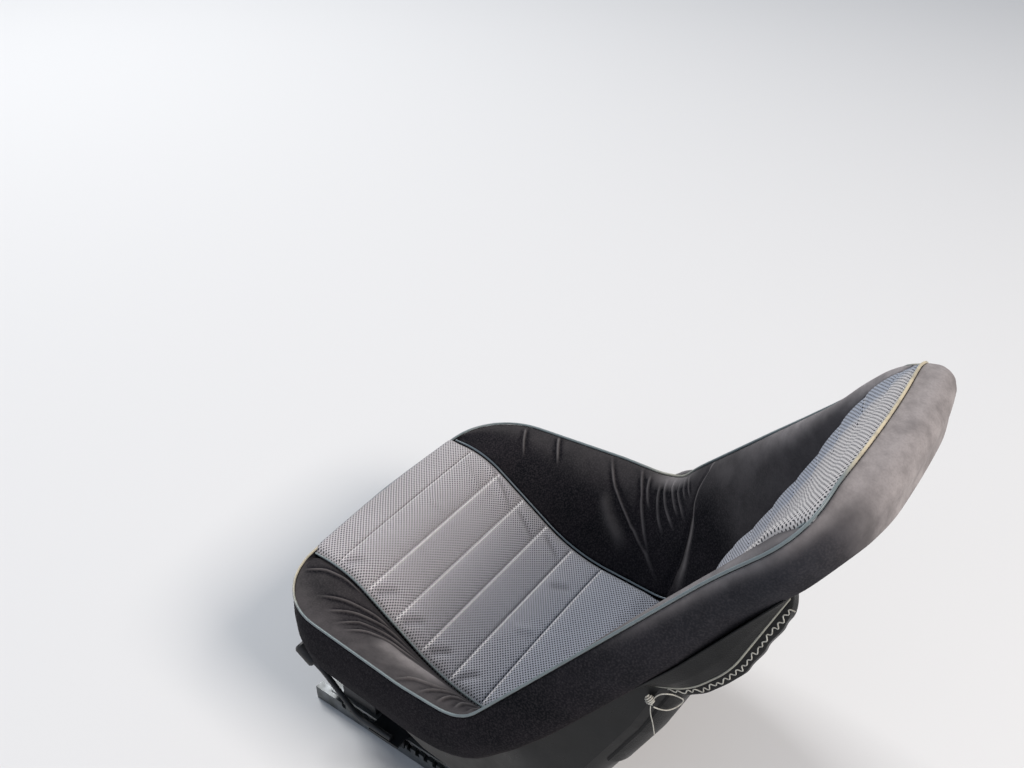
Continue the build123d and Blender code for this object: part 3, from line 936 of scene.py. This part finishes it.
class BUCKET_OT_border_band(bpy.types.Operator):
    """Pad the velour border that runs round the outside of the bucket"""

    bl_idname = "bucket.border_band"
    bl_label = "Border Band"

    def execute(self, context):
        band = laid_ring("border_band_velour", 520, 56, ring_section(band_profile))
        face_outwards(band)
        shade_smooth(band)
        dress(band, velour(context.scene.bucket_colours))
        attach(band, "seat")
        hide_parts("border_left", "border_right", "border_front", "border_top")
        return {"FINISHED"}


class BUCKET_OT_pipings(bpy.types.Operator):
    """Run the piping round the rim and down both panel seams"""

    bl_idname = "bucket.pipings"
    bl_label = "Pipings"

    def execute(self, context):
        sizes, colours = context.scene.bucket_sizes, context.scene.bucket_colours
        radius = sizes.rim_piping / 2 / MM

        def bead(ring, across):
            turn = np.linspace(0, 2 * math.pi, across, endpoint=False)
            x, along = ring[:, :1], ring[:, 1:]
            # The right-hand side's piping is slack and stands a little prouder
            proud = smooth(40, 100, along) * smooth(620, 540, along) * smooth(-100, -160, x)
            wobble = 1 + 0.03 * np.sin(np.arange(len(ring)) * 0.9)[:, None] + 0.2 * proud
            inset = 1.6 + 5.5 * elbow_dip(x, along) + radius * np.sin(turn) * wobble
            centre = 1.2 * elbow_dip(x, along) - 0.6 - 0.3 * proud - crown(x, along)
            depth = centre + radius * np.cos(turn) * wobble
            # Paler over the top, at the left front corner and at the right-hand elbow: partly yellowing,
            # partly painted light
            yellowing_and_light = smooth(760, 820, along) * smooth(110, 60, x) + 0.7 * smooth(70, 5, along) * (x > 120)
            yellowing_and_light += 0.45 * hump(along, 330, 45) * (x < 0)
            return inset, depth, yellowing_and_light + 0 * depth

        rim = laid_ring("rim_piping_bead", 900, 14, ring_section(bead))
        face_outwards(rim)
        shade_smooth(rim)
        dress(rim, piping_vinyl(colours))
        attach(rim, "seat")
        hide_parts("rim_piping")
        for side, word in ((1, "left"), (-1, "right")):
            along = np.linspace(3, WING_TOPS[side] - 2, 300)
            stand = 1.3 + 2.2 * smooth(30, 110, along) * smooth(330, 290, along) * (side > 0)
            x = side * (panel_half(along, side) - 0.2)
            line = place(x, along, panel_depth(along) - stand - crown(x, along))
            seam = tube("seam_piping_" + word, line, sizes.seam_piping / 2)
            # Both seams hold the same piping; the left one gets the paler rim piping's finish as a painted
            # reflection
            dress(seam, piping_vinyl(colours) if side > 0 else seam_piping_vinyl(colours))
            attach(seam, "seat")
        return {"FINISHED"}


# Hem of the cover under the border, on each side, and the cover's face: distance along the rim against depth
HEM_LINE = ((536, 64, 0), (578, 89, 70), (632, 89, 110), (738, 50, 0))
COVER_FACE = ((530, 114), (570, 98), (600, 86), (660, 63), (690, 55), (720, 49.5), (745, 48))
# Rim above the hem: distance along it against half width
HEM_RIM = ((538, 209), (740, 174))


def hem_depth(along):
    """Depth of the hem's lower edge, at most 2 mm above the border's."""
    line = rounded(HEM_LINE)
    return np.maximum(np.interp(along, line[:, 0], line[:, 1]), border_depth(along) - 2)


def hem_x(along, inset):
    """How far out the hem stands at an inset from the rim."""
    return np.interp(along, *zip(*HEM_RIM)) - inset


def hem_roll(side):
    """Surface of the cover's rolled hem: from under the border to the piping, and back onto the cover."""

    def surface(u, v):
        start, end = HEM_LINE[0][0], HEM_LINE[-1][0]
        along = start + (end - start) * v
        ends = smooth(0, 0.12, v) * smooth(1, 0.88, v)
        top, hem, face = border_depth(along) - 3, hem_depth(along), np.interp(along, *zip(*COVER_FACE))
        inset = np.interp(u, (0, 0.25, 0.42, 0.5, 0.56, 0.66, 0.8, 1), (9, 15, 21, 23, 27, 27, 36, 66))
        low = np.interp(u, (0, 0.25, 0.42, 0.5), (0, 0.55, 0.9, 1))
        under = np.interp(u, (0.5, 0.56, 0.66, 0.8), (0, 1, 12, 15))
        depth = top + (hem - top) * low + ends * under
        inside = smooth(0.78, 1, u)
        depth = depth * (1 - inside) + (face - 3) * inside
        along = along + 2.0 * np.sin(v * 41 + u * 9) * smooth(0.6, 0.7, u) * smooth(1, 0.9, u)
        x = side * hem_x(along, inset)
        return place(x, along, depth), np.stack([x, along], axis=-1), np.zeros_like(u)

    return surface


# The cord's loop beside its knot, and its loose end: (x, distance along the rim, depth)
CORD_LOOP = (
    (195, 534, 84), (190, 547, 78), (184, 557, 85), (173, 552, 98), (163, 541, 108), (174, 534, 107),
    (186, 532, 99), (193, 534, 88),
)
CORD_END = ((194, 532, 86), (192, 522, 93), (190, 512, 106), (190, 501, 119))


def wound_knot():
    """Path of the cord's knot, wound round itself into a ball."""
    share = np.linspace(0, 1, 61)
    turn, girth = share * 2 * math.pi * 5, 4.4 * np.sin(math.pi * (0.12 + 0.76 * share))
    return np.stack([194 + girth * np.cos(turn), 538 + girth * np.sin(turn), 74 + 10 * share], axis=1)


class BUCKET_OT_cover_hem(bpy.types.Operator):
    """Hang the cover's rolled hem under the border and lace it up"""

    bl_idname = "bucket.cover_hem"
    bl_label = "Cover Hem"

    def execute(self, context):
        sizes, colours = context.scene.bucket_sizes, context.scene.bucket_colours
        dice = np.random.default_rng(11)
        for side, word in ((1, "left"), (-1, "right")):
            piece = laid_grid("cover_hem_" + word, 48, 96, hem_roll(side))
            applied(piece, "SOLIDIFY", thickness=HEM_THICKNESS, offset=0)
            face_outwards(piece)
            shade_smooth(piece)
            dress(piece, black_vinyl(colours))
            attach(piece, "seat")
            along = np.linspace(541, 734, 120)
            line = place(side * hem_x(along, 22.4), along, hem_depth(along) + 0.6)
            piping = tube("hem_piping_" + word, line, sizes.hem_piping / 2)
            add_wear_and_light(piping, np.full(len(piping.data.vertices), 0.4))
            dress(piping, piping_vinyl(colours))
            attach(piping, "seat")
            turns = np.arange(41)
            along = np.linspace(550, 728, 41) + dice.uniform(-1.3, 1.3, 41)
            swing = np.where(turns % 2, 5.0, 11.4) + dice.uniform(-1.2, 1.2, 41)
            zigzag = np.stack([hem_x(along, 26.0), along, hem_depth(along) + swing], axis=1)
            knot = np.vstack([wound_knot(), CORD_LOOP])
            rows = (("lacing_", zigzag, 1.0), ("knot_", knot, 1.0), ("cord_end_", CORD_END, 0.8))
            for stem, path, girth in rows:
                x, along, depth = np.array(path, float).T
                line = place(side * x, along, depth)
                strand = tube(stem + word, line, girth * sizes.cord / 2, "NURBS", stem != "cord_end_")
                dress(strand, waxed_cord(colours))
                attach(strand, "seat")
        return {"FINISHED"}


class BUCKET_OT_shell(bpy.types.Operator):
    """Finish the moulded shell and the vinyl cover on its back"""

    bl_idname = "bucket.shell"
    bl_label = "Shell and Cover"

    def execute(self, context):
        colours = context.scene.bucket_colours
        dress_nodes(black_gelcoat(colours), "shell")
        dress_nodes(black_vinyl(colours), "back_cover")
        return {"FINISHED"}


class BUCKET_OT_mount(bpy.types.Operator):
    """Finish the risers, cross tubes, sliders, rails, glides and release lever"""

    bl_idname = "bucket.mount"
    bl_label = "Mount"

    def execute(self, context):
        colours = context.scene.bucket_colours
        dress_nodes(
            black_steel(colours), "riser_front_left", "riser_front_right", "riser_rear_left",
            "riser_rear_right", "cross_tube_front", "cross_tube_rear", "release_lever", "latch_plate",
        )
        dress_nodes(zinc_steel(colours), "rail_left", "rail_right", "slider_left", "slider_right")
        dress_nodes(natural_nylon(colours), "glides_left", "glides_right")
        dress_nodes(grip_plastic(colours), "lever_knob")
        return {"FINISHED"}


# Camera that saw the seat: its place in metres, its turn, and its lens in millimetres on a 36 mm sensor
CAMERA_PLACE = (0.80503, 0.58088, 1.22103)
CAMERA_TURN = (
    (-0.5816085, -0.4613891, 0.6699634),
    (0.8134489, -0.3356370, 0.4750249),
    (0.0056929, 0.8212595, 0.5705264),
)
CAMERA_LENS = 35.779
# Soft lamps: name, place and size in metres, power in watts, colour; they point at the seat's middle
LAMPS = (
    ("key_light", (-1.6, -4.6, 4.8), 2.4, 300, "ffffff"),
    ("rear_light", (0.4, 4.6, 4.8), 2.4, 360, "fff6ee"),
    ("side_light", (4.8, -1.0, 2.6), 3.5, 40, "e6eeff"),
)
SEAT_MIDDLE = Vector((0, 0.1, 0.35))


class BUCKET_OT_stage(bpy.types.Operator):
    """Set the pale floor, the soft lights and the camera"""

    bl_idname = "bucket.stage"
    bl_label = "Stage"

    def execute(self, context):
        scene = context.scene
        floor = primitive(bpy.ops.mesh.primitive_plane_add, "studio_floor", size=12)
        bpy.ops.object.transform_apply(location=True, rotation=True, scale=True)
        dress(floor, floor_paint(scene.bucket_colours))
        world = bpy.data.worlds.new("studio")
        scene.world = world
        world.use_nodes = True
        sky = world.node_tree
        glow = sky.nodes["Background"]
        glow.inputs["Color"].default_value = (*tone("cddcf0"), 1)
        glow.inputs["Strength"].default_value = 0.32
        seen = add_node(sky, "Background", {"Color": "e6e7e8", "Strength": 1.0})
        rays = add_node(sky, "LightPath", {}, "Is Camera Ray")
        both = add_node(sky, "MixShader", {0: rays, 1: glow.outputs[0], 2: seen})
        sky.links.new(both, sky.nodes["World Output"].inputs["Surface"])
        for name, spot, size, power, colour in LAMPS:
            light = bpy.data.lights.new(name, "AREA")
            light.size = size
            light.energy = power
            light.color = tone(colour)
            lamp = bpy.data.objects.new(name, light)
            lamp.location = spot
            lamp.rotation_euler = (SEAT_MIDDLE - Vector(spot)).to_track_quat("-Z", "Y").to_euler()
            bpy.context.collection.objects.link(lamp)
        lens = bpy.data.cameras.new("photo_camera")
        lens.sensor_width = 36
        lens.lens = CAMERA_LENS
        camera = bpy.data.objects.new("photo_camera", lens)
        bpy.context.collection.objects.link(camera)
        camera.matrix_world = Matrix.Translation(CAMERA_PLACE) @ Matrix(CAMERA_TURN).to_4x4()
        scene.camera = camera
        scene.view_settings.view_transform = "Standard"
        return {"FINISHED"}


def length_property(name, description, default):
    return bpy.props.FloatProperty(
        name=name, description=description, default=default, min=0, subtype="DISTANCE", unit="LENGTH"
    )


def colour_property(name, description, code):
    return bpy.props.FloatVectorProperty(
        name=name, description=description, default=tone(code), size=3, min=0, max=1, subtype="COLOR"
    )


class BucketSizes(bpy.types.PropertyGroup):
    """Sizes of the seat's soft parts"""

    rim_piping: length_property("Rim Piping", "Diameter of the piping round the rim", 0.0032)
    seam_piping: length_property("Seam Piping", "Diameter of the piping in the panel seams", 0.0030)
    hem_piping: length_property("Hem Piping", "Diameter of the piping on the cover's hem", 0.0025)
    cord: length_property("Lacing Cord", "Diameter of the cord that laces the cover", 0.0014)
    cushion_channel: length_property("Cushion Channel", "How far the cushion's channels bulge", 0.0050)
    back_channel: length_property("Back Channel", "How far the back's channels bulge", 0.0036)


class BucketColours(bpy.types.PropertyGroup):
    """Colours of the seat's finishes"""

    cloth_ground: colour_property("Cloth Ground", "Pale threads of the check cloth", "b1adb0")
    cloth_dots: colour_property("Cloth Dots", "Dark tufts of the check cloth", "2f2e33")
    velour: colour_property("Velour", "Pile of the velour", "0f1014")
    piping: colour_property("Piping", "Piping round the rim", "6c7779")
    seam_piping: colour_property("Seam Piping", "Piping in the panel seams", "586369")
    vinyl: colour_property("Vinyl", "Cover on the back of the shell", "0c0d0e")
    shell: colour_property("Shell", "Gelcoat of the shell", "090a0b")
    steel: colour_property("Steel", "Powder coat on brackets and lever", "1b1c1e")
    zinc: colour_property("Zinc", "Plating of rails and sliders", "85888a")
    grip: colour_property("Grip", "Knob of the release lever", "121213")
    glide: colour_property("Glide", "Nylon glides in the rails", "cfcab9")
    cord: colour_property("Cord", "Lacing of the back cover", "bcbab1")


OPERATORS = (
    BUCKET_OT_cloth_panels,
    BUCKET_OT_velour_sides,
    BUCKET_OT_border_band,
    BUCKET_OT_pipings,
    BUCKET_OT_cover_hem,
    BUCKET_OT_shell,
    BUCKET_OT_mount,
    BUCKET_OT_stage,
)


class BUCKET_PT_panel(bpy.types.Panel):
    """Lists the seat's steps, sizes and colours"""

    bl_idname = "BUCKET_PT_panel"
    bl_label = "Bucket Seat"
    bl_space_type = "VIEW_3D"
    bl_region_type = "UI"
    bl_category = "Bucket Seat"

    def draw(self, context):
        for step in OPERATORS:
            self.layout.operator(step.bl_idname)
        for group in (context.scene.bucket_sizes, context.scene.bucket_colours):
            box = self.layout.box()
            for key in group.__annotations__:
                box.prop(group, key)


CLASSES = (BucketSizes, BucketColours, *OPERATORS, BUCKET_PT_panel)


def register():
    for kind in CLASSES:
        bpy.utils.register_class(kind)
    bpy.types.Scene.bucket_sizes = bpy.props.PointerProperty(type=BucketSizes)
    bpy.types.Scene.bucket_colours = bpy.props.PointerProperty(type=BucketColours)


def unregister():
    del bpy.types.Scene.bucket_colours
    del bpy.types.Scene.bucket_sizes
    for kind in reversed(CLASSES):
        bpy.utils.unregister_class(kind)


def main():
    """Dress the whole seat in order and note both boxes."""
    register()
    for step in OPERATORS:
        family, verb = step.bl_idname.split(".")
        getattr(getattr(bpy.ops, family), verb)()


if __name__ == "__main__":
    main()
